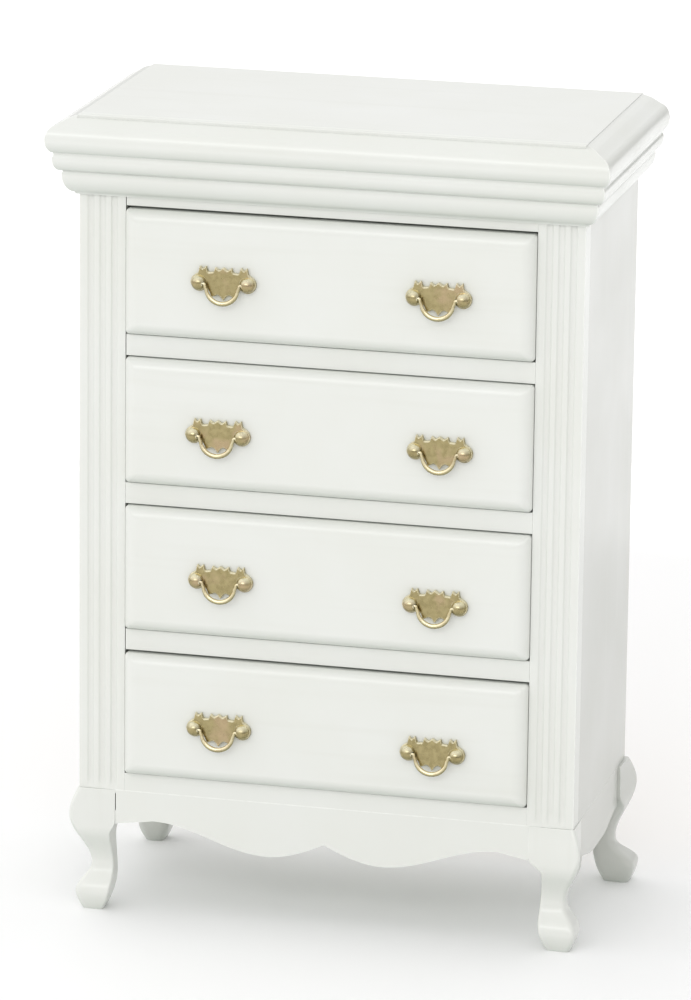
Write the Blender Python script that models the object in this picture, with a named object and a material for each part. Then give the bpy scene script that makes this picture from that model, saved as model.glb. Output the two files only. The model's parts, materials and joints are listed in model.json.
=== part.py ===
"""Dolls' house chest of four drawers on cabriole legs, at about one twelfth of full size.

Metres, +Z up. The drawers face -Y, and +X is on the right of someone who faces them. The
origin is on the ground, under the middle of the whole chest. Every glued piece is a solid of
its own, the drawers slide out along -Y, and each drop handle swings on its own bail pins.
"""

import math

import bmesh
import bpy

MM = 0.001

# The case: a carcass between two fluted pilasters
CASE_WIDTH = 75.0 * MM
CASE_DEPTH = 37.5 * MM
CASE_HEIGHT = 90.1 * MM
LEG_HEIGHT = 19.0 * MM
PILASTER_WIDTH = 6.95 * MM
STOCK = 3.2 * MM
BACK_THICKNESS = 1.6 * MM
BOTTOM_RAIL = 2.75 * MM
TOP_RAIL = 1.35 * MM

# The gap left between two pieces that rest on, or are glued to, each other
JOINT_GAP = 0.3 * MM

# Flutes worked into each pilaster
FLUTE_COUNT = 3
FLUTE_PITCH = 1.76 * MM
FLUTE_WIDTH = 1.0 * MM
FLUTE_DEPTH = 0.28 * MM
FLUTE_STEPS = 6

# Cornice and top board; the cornice is drawn by its projection from the case's faces
CORNICE_HEIGHT = 11.9 * MM
CORNICE_PROJECTION = 4.15 * MM
OGEE_DEPTH = 1.6 * MM
TOP_THICKNESS = 1.95 * MM
TOP_LIP = 0.65 * MM
TOP_FRONT_OVERHANG = 1.0 * MM
TOP_BACK_OVERHANG = 1.4 * MM
TOP_EDGE_RADIUS = 0.3 * MM
TOP_EDGE_SEGMENTS = 3

# Drawers
DRAWER_COUNT = 4
DRAWER_PROUD = 1.8 * MM
DRAWER_GAP_SIDE = 0.35 * MM
DRAWER_GAP_TOP = 0.4 * MM
DRAWER_GAP_BOTTOM = JOINT_GAP
DRAWER_GAP_BACK = 0.6 * MM
DRAWER_EDGE_DEPTH = 1.6 * MM
DRAWER_EDGE_WIDTH = 1.9 * MM
DRAWER_EDGE_STEPS = 4
DRAWER_CORNER_RADIUS = 0.6 * MM
DRAWER_CORNER_STEPS = 3
DRAWER_SIDE_INSET = 0.1 * MM
DRAWER_BOARD = 1.6 * MM
DRAWER_SIDE_HEIGHT = 16.4 * MM
DRAWER_BACK_HEIGHT = 15.4 * MM
DRAWER_FLOOR = 1.0 * MM

# Legs: a square section whose outer faces swell at the knee, draw in at the ankle and swell at
# the foot
KNEE_DROP = 3.9 * MM
KNEE_SWELL = 1.4 * MM
ANKLE_DROP = 12.2 * MM
ANKLE_SWELL = -1.37 * MM
FOOT_DROP = 16.1 * MM
FOOT_SWELL = 0.6 * MM
PAD_SWELL = -0.3 * MM
LEG_TOP_SWELL = 0.25 * MM
BLOCK_WIDTH = 5.5 * MM
BLOCK_DROP = 4.9 * MM
SHANK_DROP = 7.2 * MM
SHANK_WIDTH = 4.4 * MM
CALF_DROP = 13.6 * MM
CALF_WIDTH = 4.7 * MM
PAD_WIDTH = 3.3 * MM
LEG_OUTER_CHAMFER = 0.7 * MM
LEG_CHAMFER = 0.35 * MM
LEG_STEPS = 18
PAD_CURVE = 1.6
HEEL_CURVE = 2

# How the hand-shaped legs differ: how much wider each one is across the chest at its block, its
# shank and its foot, how much fuller at the ankle, how far out it is set and its foot splayed
LEG_SHAPES = {
    "leg_front_left": {"shank": 0.3 * MM, "foot": 0.2 * MM},
    "leg_front_right": {"block": 1.1 * MM, "shank": 0.2 * MM, "foot": 0.4 * MM},
    "leg_rear_left": {},
    "leg_rear_right": {
        "shank": 0.3 * MM,
        "foot": 1.0 * MM,
        "ankle": -0.7 * MM,
        "shift": 0.4 * MM,
        "splay": 1.4 * MM,
    },
}

# Aprons: how far each lower edge hangs below the case
FRONT_APRON_END = 5.3 * MM
FRONT_APRON_HIGH = 4.4 * MM
FRONT_APRON_HIGH_X = 26.2 * MM
FRONT_APRON_LOW = 8.35 * MM
FRONT_APRON_LOW_X = 8.6 * MM
FRONT_APRON_CUSP = 5.7 * MM
FRONT_APRON_CUSP_CURVE = 1.7
SIDE_APRON_END = 6.2 * MM
SIDE_APRON_LOW = 7.8 * MM
SIDE_APRON_RUN = 10.0 * MM
APRON_STEPS = 8

# Pulls: a crown-topped back plate with two bosses, and a drop bail pinned in the bosses
PULL_SPACING = 32.3 * MM
PLATE_THICKNESS = 0.35 * MM
BOSS_SPREAD = 3.6 * MM
BOSS_RADIUS = 0.85 * MM
BOSS_SHAFT = 0.8 * MM
BOSS_HEIGHT = 1.25 * MM
BOSS_SIDES = 12
BOSS_DOME_STEPS = 3
BOSS_DOME_ANGLE = 78
LOBE_RADIUS = 1.25 * MM
LOBE_STEPS = 9
PIN_STANDOFF = 0.65 * MM
PIN_BORE_RADIUS = 0.32 * MM
PIN_BORE_SIDES = 10
PIN_BORE_START = 2.5 * MM
PIN_BORE_END = 3.45 * MM
BAIL_RADIUS = 0.26 * MM
BAIL_PIN_END = 3.3 * MM
BAIL_BEND_X = 2.86 * MM
BAIL_BEND_RADIUS = 0.3 * MM
BAIL_BOW_RADIUS = 2.35 * MM
BAIL_BOW_DROP = 0.6 * MM
BAIL_BOW_STEPS = 14
BAIL_BEND_STEPS = 3

# Where each pair of pulls was fitted by hand: how far right of and below its mark, the left
# pull first and then the right one
PULL_OFFSETS = {
    1: ((0.9 * MM, 0.55 * MM), (0.5 * MM, 0.6 * MM)),
    2: ((0.2 * MM, 1.0 * MM), (1.0 * MM, 1.0 * MM)),
    3: ((0.75 * MM, 0.65 * MM), (0.65 * MM, 1.7 * MM)),
    4: ((0.6 * MM, 0.95 * MM), (0.6 * MM, 1.85 * MM)),
}

# Derived places
HALF_WIDTH = CASE_WIDTH / 2
OPENING_HALF = HALF_WIDTH - PILASTER_WIDTH
CASE_BOTTOM = LEG_HEIGHT
CORNICE_BOTTOM = CASE_BOTTOM + CASE_HEIGHT
TOP = CORNICE_BOTTOM + CORNICE_HEIGHT
CARCASS_TOP = TOP - TOP_THICKNESS - JOINT_GAP
FRONT = (CORNICE_PROJECTION - CASE_DEPTH - TOP_BACK_OVERHANG) / 2
BACK = FRONT + CASE_DEPTH
BACK_INNER = BACK - BACK_THICKNESS
MITRE_SETBACK = JOINT_GAP * math.sqrt(0.5)
OPENING_HEIGHT = (CASE_HEIGHT - BOTTOM_RAIL - TOP_RAIL - (DRAWER_COUNT - 1) * STOCK) / DRAWER_COUNT

PAINT = ("cream_paint", (0.80, 0.80, 0.75), 0.28, 0.0)
BARE_WOOD = ("bare_wood", (0.62, 0.46, 0.29), 0.65, 0.0)
GILT = ("gilt_metal", (0.66, 0.48, 0.22), 0.32, 1.0)
SMOOTH_ANGLE = 35


def clear_scene():
    for item in list(bpy.data.objects):
        bpy.data.objects.remove(item, do_unlink=True)


def finish_material(look):
    """The Principled material for a (name, colour, roughness, metallic) look, made once."""
    name, colour, roughness, metallic = look
    material = bpy.data.materials.get(name)
    if material is None:
        material = bpy.data.materials.new(name)
        material.use_nodes = True
        shader = material.node_tree.nodes["Principled BSDF"]
        shader.inputs["Base Color"].default_value = (*colour, 1.0)
        shader.inputs["Roughness"].default_value = roughness
        shader.inputs["Metallic"].default_value = metallic
    return material


def add_part(name, mesh, look, location, parent=None, smooth=False):
    """One named piece of the chest; location is under its parent, if it has one."""
    mesh.materials.clear()
    mesh.materials.append(finish_material(look))
    if smooth:
        mesh.shade_smooth()
        mesh.set_sharp_from_angle(angle=math.radians(SMOOTH_ANGLE))
    part = bpy.data.objects.new(name, mesh)
    part.location = location
    part.parent = parent
    bpy.context.scene.collection.objects.link(part)
    return part


def loft(name, rings):
    """A closed mesh through rings of equal point counts, with a flat cap on each end."""
    bm = bmesh.new()
    loops = [[bm.verts.new(point) for point in ring] for ring in rings]
    for ring, following in zip(loops, loops[1:]):
        count = len(ring)
        for i in range(count):
            j = (i + 1) % count
            bm.faces.new((ring[i], ring[j], following[j], following[i]))
    bm.faces.new(loops[0])
    bm.faces.new(loops[-1])
    bmesh.ops.recalc_face_normals(bm, faces=bm.faces)
    mesh = bpy.data.meshes.new(name)
    bm.to_mesh(mesh)
    bm.free()
    return mesh


def board(name, width, depth, height):
    """A squared board centred on X, from y = 0 back and from z = 0 up."""
    half = width / 2
    outline = ((-half, 0), (half, 0), (half, depth), (-half, depth))
    return loft(name, [[(x, y, z) for x, y in outline] for z in (0, height)])


def arc(centre, radius, start, end, steps):
    """Points on an arc or, with a pair of radii, on part of an ellipse; angles in degrees."""
    across, up = radius if isinstance(radius, tuple) else (radius, radius)
    points = []
    for i in range(steps + 1):
        angle = math.radians(start + (end - start) * i / steps)
        points.append((centre[0] + across * math.cos(angle), centre[1] + up * math.sin(angle)))
    return points


def ease(share):
    """Goes from 0 to 1 with a level start and a level end."""
    return (1 - math.cos(math.pi * share)) / 2


def between(value, low, high):
    return min(1.0, max(0.0, (value - low) / (high - low)))


def opening_bottom(drawer):
    """Height of the lower edge of a drawer's opening; drawer 1 is the top one."""
    return CASE_BOTTOM + BOTTOM_RAIL + (DRAWER_COUNT - drawer) * (OPENING_HEIGHT + STOCK)


# ---------------------------------------------------------------- carcass


def pilaster_outline():
    """Plan of a pilaster from its outer front corner, with the flutes sunk in its front."""
    first = (PILASTER_WIDTH - (FLUTE_COUNT - 1) * FLUTE_PITCH) / 2
    half = FLUTE_WIDTH / 2
    radius = (half**2 + FLUTE_DEPTH**2) / (2 * FLUTE_DEPTH)
    reach = math.degrees(math.asin(half / radius))
    outline = [(0, 0)]
    for i in range(FLUTE_COUNT):
        centre = (first + i * FLUTE_PITCH, FLUTE_DEPTH - radius)
        outline += arc(centre, radius, 90 + reach, 90 - reach, FLUTE_STEPS)
    outline += [(PILASTER_WIDTH, 0), (PILASTER_WIDTH, STOCK), (0, STOCK)]
    return outline


def make_pilaster(side, word):
    height = CARCASS_TOP - CASE_BOTTOM
    rings = [[(-side * x, y, z) for x, y in pilaster_outline()] for z in (0, height)]
    mesh = loft("pilaster", rings)
    add_part("pilaster_" + word, mesh, PAINT, (side * HALF_WIDTH, FRONT, CASE_BOTTOM), smooth=True)


def make_side_panel(side, word):
    start = STOCK + JOINT_GAP
    mesh = board("side_panel", STOCK, CASE_DEPTH - start, CARCASS_TOP - CASE_BOTTOM)
    place = (side * (HALF_WIDTH - STOCK / 2), FRONT + start, CASE_BOTTOM)
    add_part("side_panel_" + word, mesh, PAINT, place)


def make_back_panel():
    width = CASE_WIDTH - 2 * (STOCK + JOINT_GAP)
    mesh = board("back_panel", width, BACK_THICKNESS, CARCASS_TOP - CASE_BOTTOM)
    add_part("back_panel", mesh, BARE_WOOD, (0, BACK_INNER, CASE_BOTTOM))


def make_shelf(name, bottom, thickness):
    """A full-depth board: its front edge is a rail between the pilasters; drawers slide on it."""
    tongue = OPENING_HALF - JOINT_GAP
    body = HALF_WIDTH - STOCK - JOINT_GAP
    shoulder = STOCK + JOINT_GAP
    rear = CASE_DEPTH - BACK_THICKNESS - JOINT_GAP
    right = [(tongue, 0), (tongue, shoulder), (body, shoulder), (body, rear)]
    outline = right + [(-x, y) for x, y in reversed(right)]
    mesh = loft(name, [[(x, y, z) for x, y in outline] for z in (0, thickness)])
    add_part(name, mesh, PAINT, (0, FRONT, bottom))


def make_rail_top():
    """The rail over the top drawer, which runs on up behind the cornice."""
    bottom = CORNICE_BOTTOM - TOP_RAIL
    width = 2 * (OPENING_HALF - JOINT_GAP)
    mesh = board("rail_top", width, STOCK, CARCASS_TOP - bottom)
    add_part("rail_top", mesh, PAINT, (0, FRONT, bottom))


# ---------------------------------------------------------------- cornice and top


def cornice_profile():
    """(projection, height) round the moulding; height 0 is the raised top."""
    profile = [(JOINT_GAP, -TOP_LIP - JOINT_GAP), (1.15 * MM, -TOP_LIP - JOINT_GAP)]
    ogee = (CORNICE_PROJECTION - OGEE_DEPTH, -3.55 * MM)
    profile += arc(ogee, (OGEE_DEPTH, 2.15 * MM), 80, -58, 9)
    profile += [(3.15 * MM, -5.45 * MM), (3.15 * MM, -5.95 * MM)]
    profile += arc((2.2 * MM, -6.3 * MM), (1.1 * MM, 1.9 * MM), 5, -76, 5)
    profile += [(2.05 * MM, -8.15 * MM), (2.05 * MM, -8.5 * MM)]
    profile += arc((0.35 * MM, -8.7 * MM), (1.8 * MM, 2.9 * MM), 0, -82, 6)
    profile += [(0.45 * MM, -CORNICE_HEIGHT), (JOINT_GAP, -CORNICE_HEIGHT)]
    return profile


def make_cornice_front():
    """Mitred at both ends."""
    ends = []
    reach = HALF_WIDTH - MITRE_SETBACK
    for side in (-1, 1):
        ends.append([(side * (reach + out), -out, up) for out, up in cornice_profile()])
    add_part("cornice_front", loft("cornice_front", ends), PAINT, (0, FRONT, TOP), smooth=True)


def make_cornice_side(side, word):
    """Mitred in front and cut square at the back, level with the top board."""
    front = [(side * out, MITRE_SETBACK - out, up) for out, up in cornice_profile()]
    rear = [(side * out, CASE_DEPTH + TOP_BACK_OVERHANG, up) for out, up in cornice_profile()]
    mesh = loft("cornice_side", [front, rear])
    add_part("cornice_" + word, mesh, PAINT, (side * HALF_WIDTH, FRONT, TOP), smooth=True)


def make_top_board():
    """A board let down between the mouldings, with a front lip over the front one."""
    rear = CASE_DEPTH + TOP_BACK_OVERHANG
    outline = (
        (-TOP_FRONT_OVERHANG, 0),
        (-TOP_FRONT_OVERHANG, -TOP_LIP),
        (0, -TOP_LIP),
        (0, -TOP_THICKNESS),
        (rear, -TOP_THICKNESS),
        (rear, 0),
    )
    mesh = loft("top_board", [[(x, y, z) for y, z in outline] for x in (-HALF_WIDTH, HALF_WIDTH)])
    bm = bmesh.new()
    bm.from_mesh(mesh)
    upper = [edge for edge in bm.edges if all(vert.co.z > -JOINT_GAP for vert in edge.verts)]
    bmesh.ops.bevel(
        bm,
        geom=upper,
        offset=TOP_EDGE_RADIUS,
        segments=TOP_EDGE_SEGMENTS,
        profile=0.5,
        affect="EDGES",
    )
    bm.to_mesh(mesh)
    bm.free()
    add_part("top_board", mesh, PAINT, (0, FRONT, TOP), smooth=True)


# ---------------------------------------------------------------- legs and aprons


def leg_swell(drop, ankle_swell):
    """How far a leg's outer faces stand out from the case's corner, at a drop below the case."""
    if drop < KNEE_DROP:
        share = math.sin(math.pi / 2 * drop / KNEE_DROP)
        return LEG_TOP_SWELL + (KNEE_SWELL - LEG_TOP_SWELL) * share
    if drop < ANKLE_DROP:
        return KNEE_SWELL + (ankle_swell - KNEE_SWELL) * ease(between(drop, KNEE_DROP, ANKLE_DROP))
    if drop < FOOT_DROP:
        return ankle_swell + (FOOT_SWELL - ankle_swell) * ease(between(drop, ANKLE_DROP, FOOT_DROP))
    return FOOT_SWELL + (PAD_SWELL - FOOT_SWELL) * between(drop, FOOT_DROP, LEG_HEIGHT) ** PAD_CURVE


def leg_inner(drop):
    """How far a leg's inner faces lie inside the case's corner."""
    if drop < SHANK_DROP:
        return BLOCK_WIDTH + (SHANK_WIDTH - BLOCK_WIDTH) * ease(between(drop, BLOCK_DROP, SHANK_DROP))
    if drop < CALF_DROP:
        return SHANK_WIDTH + (CALF_WIDTH - SHANK_WIDTH) * ease(between(drop, SHANK_DROP, CALF_DROP))
    return CALF_WIDTH + (PAD_WIDTH - CALF_WIDTH) * between(drop, CALF_DROP, LEG_HEIGHT) ** HEEL_CURVE


def leg_extra(drop, block, shank, foot):
    """How much wider than the pattern a leg is across the chest."""
    if drop < SHANK_DROP:
        return block + (shank - block) * ease(between(drop, BLOCK_DROP, SHANK_DROP))
    return shank + (foot - shank) * ease(between(drop, SHANK_DROP, CALF_DROP))


def leg_section(low, wide, deep):
    """The eight corners of a leg's section, as distances in from the case's side and end."""
    outer = LEG_OUTER_CHAMFER
    cut = LEG_CHAMFER
    return (
        (low + outer, low),
        (wide - cut, low),
        (wide, low + cut),
        (wide, deep - cut),
        (wide - cut, deep),
        (low + cut, deep),
        (low, deep - cut),
        (low, low + outer),
    )


def make_leg(name, side, end, block=0.0, shank=0.0, foot=0.0, ankle=0.0, shift=0.0, splay=0.0):
    """end is -1 in front and 1 at the rear; the rest are this leg's own differences."""
    drops = [JOINT_GAP, BLOCK_DROP, SHANK_DROP, FOOT_DROP]
    drops += [LEG_HEIGHT * (i + 1) / LEG_STEPS for i in range(LEG_STEPS)]
    rings = []
    for drop in sorted(drops):
        lean = shift + splay * ease(between(drop, KNEE_DROP, FOOT_DROP))
        deep = leg_inner(drop)
        wide = deep + leg_extra(drop, block, shank, foot)
        section = leg_section(-leg_swell(drop, ANKLE_SWELL + ankle), wide, deep)
        rings.append([(side * (lean - across), -end * along, -drop) for across, along in section])
    corner = (side * HALF_WIDTH, FRONT if end < 0 else BACK, CASE_BOTTOM)
    add_part(name, loft(name, rings), PAINT, corner, smooth=True)


def front_apron_edge():
    """Right half of the lower edge, from its highest point to the cusp: (x, drop) points."""
    edge = []
    for i in range(APRON_STEPS + 1):
        share = i / APRON_STEPS
        across = FRONT_APRON_HIGH_X + (FRONT_APRON_LOW_X - FRONT_APRON_HIGH_X) * share
        edge.append((across, FRONT_APRON_HIGH + (FRONT_APRON_LOW - FRONT_APRON_HIGH) * ease(share)))
    for i in range(1, APRON_STEPS + 1):
        share = i / APRON_STEPS
        rise = (FRONT_APRON_LOW - FRONT_APRON_CUSP) * share**FRONT_APRON_CUSP_CURVE
        edge.append((FRONT_APRON_LOW_X * (1 - share), FRONT_APRON_LOW - rise))
    return edge


def make_apron_front():
    """Fits between the front legs, of which the right one is the wider."""
    left = BLOCK_WIDTH + JOINT_GAP - HALF_WIDTH
    right = -left - LEG_SHAPES["leg_front_right"]["block"]
    half = front_apron_edge()
    edge = half + [(-x, drop) for x, drop in reversed(half[:-1])]
    outline = [(right, -FRONT_APRON_END)] + [(x, -drop) for x, drop in edge]
    outline += [(left, -FRONT_APRON_END), (left, -JOINT_GAP), (right, -JOINT_GAP)]
    mesh = loft("apron_front", [[(x, y, z) for x, z in outline] for y in (0, STOCK)])
    add_part("apron_front", mesh, PAINT, (0, FRONT, CASE_BOTTOM), smooth=True)


def make_apron_side(side, word):
    """Hangs lowest along its middle and lifts a little towards each leg."""
    end = CASE_DEPTH / 2 - BLOCK_WIDTH - JOINT_GAP
    half = []
    for i in range(APRON_STEPS + 1):
        share = i / APRON_STEPS
        drop = SIDE_APRON_END + (SIDE_APRON_LOW - SIDE_APRON_END) * ease(share)
        half.append((end - SIDE_APRON_RUN * share, drop))
    lower = [(y, -drop) for y, drop in half] + [(-y, -drop) for y, drop in reversed(half)]
    outline = lower + [(-end, -JOINT_GAP), (end, -JOINT_GAP)]
    mesh = loft("apron_side", [[(-side * x, y, z) for y, z in outline] for x in (0, STOCK)])
    place = (side * HALF_WIDTH, (FRONT + BACK) / 2, CASE_BOTTOM)
    add_part("apron_" + word, mesh, PAINT, place, smooth=True)


# ---------------------------------------------------------------- drawers


def rounded_rectangle(width, height, radius):
    """(x, z) points round a rectangle that stands on z = 0 and is centred on x = 0."""
    half = width / 2 - radius
    upper = height - radius
    corners = ((half, radius, -90), (half, upper, 0), (-half, upper, 90), (-half, radius, 180))
    outline = []
    for x, z, start in corners:
        outline += arc((x, z), radius, start, start + 90, DRAWER_CORNER_STEPS)
    return outline


def make_drawer_front(drawer, slide):
    """A thick front whose proud edges are rounded over all the way round."""
    width = 2 * (OPENING_HALF - DRAWER_GAP_SIDE)
    height = OPENING_HEIGHT - DRAWER_GAP_TOP - DRAWER_GAP_BOTTOM
    levels = [(STOCK - DRAWER_PROUD, 0.0), (0.0, 0.0)]
    for i in range(DRAWER_EDGE_STEPS + 1):
        angle = math.radians(90 * i / DRAWER_EDGE_STEPS)
        forward = DRAWER_PROUD - DRAWER_EDGE_DEPTH * (1 - math.sin(angle))
        levels.append((-forward, DRAWER_EDGE_WIDTH * (1 - math.cos(angle))))
    rings = []
    for y, inset in levels:
        outline = rounded_rectangle(width - 2 * inset, height - 2 * inset, DRAWER_CORNER_RADIUS)
        rings.append([(x, y, z + inset) for x, z in outline])
    name = f"drawer_{drawer}_front"
    add_part(name, loft(name, rings), PAINT, (0, 0, 0), parent=slide, smooth=True)


def make_drawer_box(drawer, slide):
    """Two sides, a back between them and a floor let in between all four."""
    start = STOCK - DRAWER_PROUD + JOINT_GAP
    rear = CASE_DEPTH - BACK_THICKNESS - DRAWER_GAP_BACK
    outer = OPENING_HALF - DRAWER_GAP_SIDE - DRAWER_SIDE_INSET
    inner_width = 2 * (outer - DRAWER_BOARD - JOINT_GAP)
    back_face = rear - DRAWER_BOARD
    for side, word in ((-1, "left"), (1, "right")):
        mesh = board("drawer_side", DRAWER_BOARD, rear - start, DRAWER_SIDE_HEIGHT)
        place = (side * (outer - DRAWER_BOARD / 2), start, 0)
        add_part(f"drawer_{drawer}_side_{word}", mesh, BARE_WOOD, place, parent=slide)
    mesh = board("drawer_back", inner_width, DRAWER_BOARD, DRAWER_BACK_HEIGHT)
    add_part(f"drawer_{drawer}_back", mesh, BARE_WOOD, (0, back_face, 0), parent=slide)
    mesh = board("drawer_floor", inner_width, back_face - JOINT_GAP - start, DRAWER_FLOOR)
    add_part(f"drawer_{drawer}_bottom", mesh, BARE_WOOD, (0, start, 0), parent=slide)


# ---------------------------------------------------------------- pulls


def plate_outline():
    """(x, z) round the back plate: a crown of points, two round lobes and a pointed lower edge."""
    crown = [(0.55, 2.1), (1.1, 2.35), (1.8, 1.85), (2.45, 2.3), (2.95, 2.0), (3.45, 2.3), (3.65, 1.55)]
    skirt = [(2.35, -0.85), (1.95, -1.5), (1.75, -2.05), (1.3, -2.0), (0.85, -1.8), (0.45, -2.0)]
    right = [(x * MM, z * MM) for x, z in crown]
    right += arc((BOSS_SPREAD, 0), LOBE_RADIUS, 55, -140, LOBE_STEPS)
    right += [(x * MM, z * MM) for x, z in skirt]
    return [(0, 2.55 * MM)] + right + [(0, -2.6 * MM)] + [(-x, z) for x, z in reversed(right)]


def boss_mesh(x):
    """A short post with a domed head, standing forward along -Y from inside the plate."""
    levels = [(-PLATE_THICKNESS / 2, BOSS_RADIUS), (-PLATE_THICKNESS - BOSS_SHAFT, BOSS_RADIUS)]
    dome = BOSS_HEIGHT - BOSS_SHAFT
    for i in range(1, BOSS_DOME_STEPS + 1):
        angle = math.radians(BOSS_DOME_ANGLE * i / BOSS_DOME_STEPS)
        forward = PLATE_THICKNESS + BOSS_SHAFT + dome * math.sin(angle)
        levels.append((-forward, BOSS_RADIUS * math.cos(angle)))
    turn = 360 / BOSS_SIDES
    rings = []
    for y, radius in levels:
        circle = arc((x, 0), radius, 0, 360 - turn, BOSS_SIDES - 1)
        rings.append([(px, y, pz) for px, pz in circle])
    return loft("boss", rings)


def bore_mesh(side):
    """The blind hole that takes a bail pin, cut into a boss from its inner side."""
    turn = 360 / PIN_BORE_SIDES
    centre = (-PLATE_THICKNESS - PIN_STANDOFF, 0)
    circle = arc(centre, PIN_BORE_RADIUS, 0, 360 - turn, PIN_BORE_SIDES - 1)
    return loft("bore", [[(side * x, y, z) for y, z in circle] for x in (PIN_BORE_START, PIN_BORE_END)])


def plate_mesh():
    """The back plate with its two bosses joined on and the pin holes bored in them."""
    flat = loft("plate", [[(x, y, z) for x, z in plate_outline()] for y in (0, -PLATE_THICKNESS)])
    plate = add_part("plate_blank", flat, GILT, (0, 0, 0))
    tools = []
    for side in (-1, 1):
        tools.append(("UNION", add_part("boss_blank", boss_mesh(side * BOSS_SPREAD), GILT, (0, 0, 0))))
        tools.append(("DIFFERENCE", add_part("bore_blank", bore_mesh(side), GILT, (0, 0, 0))))
    for operation, tool in tools:
        step = plate.modifiers.new(operation.lower(), "BOOLEAN")
        step.operation = operation
        step.solver = "EXACT"
        step.object = tool
    bpy.context.view_layer.update()
    evaluated = plate.evaluated_get(bpy.context.evaluated_depsgraph_get())
    mesh = bpy.data.meshes.new_from_object(evaluated)
    for blank in [plate] + [tool for _, tool in tools]:
        bpy.data.objects.remove(blank, do_unlink=True)
    return mesh


def bail_path():
    """(x, z) points from the left pin, down round the bow and up to the right pin."""
    bend = (BAIL_BEND_X, -BAIL_BEND_RADIUS)
    half = arc((0, -BAIL_BOW_DROP), BAIL_BOW_RADIUS, -90, -6, BAIL_BOW_STEPS // 2)
    half += arc(bend, BAIL_BEND_RADIUS, 190, 90, BAIL_BEND_STEPS)
    half.append((BAIL_PIN_END, 0))
    return [(-x, z) for x, z in reversed(half[1:])] + half


def bail_curve():
    curve = bpy.data.curves.new("bail", "CURVE")
    curve.dimensions = "3D"
    curve.bevel_depth = BAIL_RADIUS
    curve.bevel_resolution = 2
    curve.use_fill_caps = True
    path = bail_path()
    spline = curve.splines.new("POLY")
    spline.points.add(len(path) - 1)
    for point, (x, z) in zip(spline.points, path):
        point.co = (x, 0, z, 1)
    return curve


def add_bail(name, curve, location, parent):
    """The bail's origin is on the line of its two pins."""
    curve.materials.clear()
    curve.materials.append(finish_material(GILT))
    bail = bpy.data.objects.new(name, curve)
    bail.location = location
    bail.parent = parent
    bpy.context.scene.collection.objects.link(bail)


def make_pulls(drawer, slide, plate, curve):
    """Both pulls of one drawer, on the flat of its front."""
    middle = OPENING_HEIGHT / 2 - DRAWER_GAP_BOTTOM
    face = -DRAWER_PROUD - JOINT_GAP
    for side, word, (right, down) in zip((-1, 1), ("left", "right"), PULL_OFFSETS[drawer]):
        x = side * PULL_SPACING / 2 + right
        z = middle - down
        name = f"pull_plate_{drawer}_{word}"
        add_part(name, plate, GILT, (x, face, z), parent=slide, smooth=True)
        pin_line = (x, face - PLATE_THICKNESS - PIN_STANDOFF, z)
        add_bail(f"pull_bail_{drawer}_{word}", curve, pin_line, slide)


def make_drawers():
    plate = plate_mesh()
    curve = bail_curve()
    for drawer in range(1, DRAWER_COUNT + 1):
        slide = bpy.data.objects.new(f"drawer_{drawer}_slide", None)
        slide.location = (0, FRONT, opening_bottom(drawer) + DRAWER_GAP_BOTTOM)
        bpy.context.scene.collection.objects.link(slide)
        make_drawer_front(drawer, slide)
        make_drawer_box(drawer, slide)
        make_pulls(drawer, slide, plate, curve)


def make_carcass():
    for side, word in ((-1, "left"), (1, "right")):
        make_pilaster(side, word)
        make_side_panel(side, word)
        make_cornice_side(side, word)
        make_apron_side(side, word)
    make_back_panel()
    make_rail_top()
    make_shelf("bottom_board", CASE_BOTTOM, BOTTOM_RAIL)
    for drawer in range(1, DRAWER_COUNT):
        make_shelf(f"divider_{drawer}", opening_bottom(drawer) - STOCK, STOCK)
    make_cornice_front()
    make_top_board()
    make_apron_front()
    for end, place in ((-1, "front"), (1, "rear")):
        for side, word in ((-1, "left"), (1, "right")):
            name = f"leg_{place}_{word}"
            make_leg(name, side, end, **LEG_SHAPES[name])


clear_scene()
make_carcass()
make_drawers()
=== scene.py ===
"""The looks of the dolls' house chest of drawers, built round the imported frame.

Metres, +Z up, the drawers facing -Y. Each painted, wooden and gilt piece is modelled finely in
place of its plain solid, and rides on that solid's body.
"""

import json
import math

import bmesh
import bpy
from mathutils import Matrix, Vector, noise


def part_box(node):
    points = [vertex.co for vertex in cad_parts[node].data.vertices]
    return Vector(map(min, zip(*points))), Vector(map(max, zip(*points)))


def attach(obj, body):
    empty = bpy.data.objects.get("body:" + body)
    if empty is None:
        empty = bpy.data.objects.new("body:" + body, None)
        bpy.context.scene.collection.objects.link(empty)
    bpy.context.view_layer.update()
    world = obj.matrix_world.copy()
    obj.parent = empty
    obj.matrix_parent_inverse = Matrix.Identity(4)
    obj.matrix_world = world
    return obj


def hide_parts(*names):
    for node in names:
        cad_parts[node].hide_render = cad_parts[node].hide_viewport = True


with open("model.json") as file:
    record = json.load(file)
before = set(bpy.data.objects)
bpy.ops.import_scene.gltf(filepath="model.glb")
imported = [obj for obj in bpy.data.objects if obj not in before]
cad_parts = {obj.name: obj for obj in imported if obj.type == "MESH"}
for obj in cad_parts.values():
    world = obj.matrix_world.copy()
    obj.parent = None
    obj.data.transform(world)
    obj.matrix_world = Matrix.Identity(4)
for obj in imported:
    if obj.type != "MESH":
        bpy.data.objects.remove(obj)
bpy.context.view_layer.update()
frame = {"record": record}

MM = 0.001
SIDES = ((-1, "left"), (1, "right"))
DRAWERS = (1, 2, 3, 4)

# Camera: long lens, a little to the right of the chest and above it
CAMERA_YAW = 0.243985
CAMERA_PITCH = 0.261463
CAMERA_ROLL = 0.011731
CAMERA_LENS = 225.64
CAMERA_AIM_HEIGHT = 75.25 * MM
CAMERA_OFFSET = Vector((-2.05, -13.64, 925.6)) * MM

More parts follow.
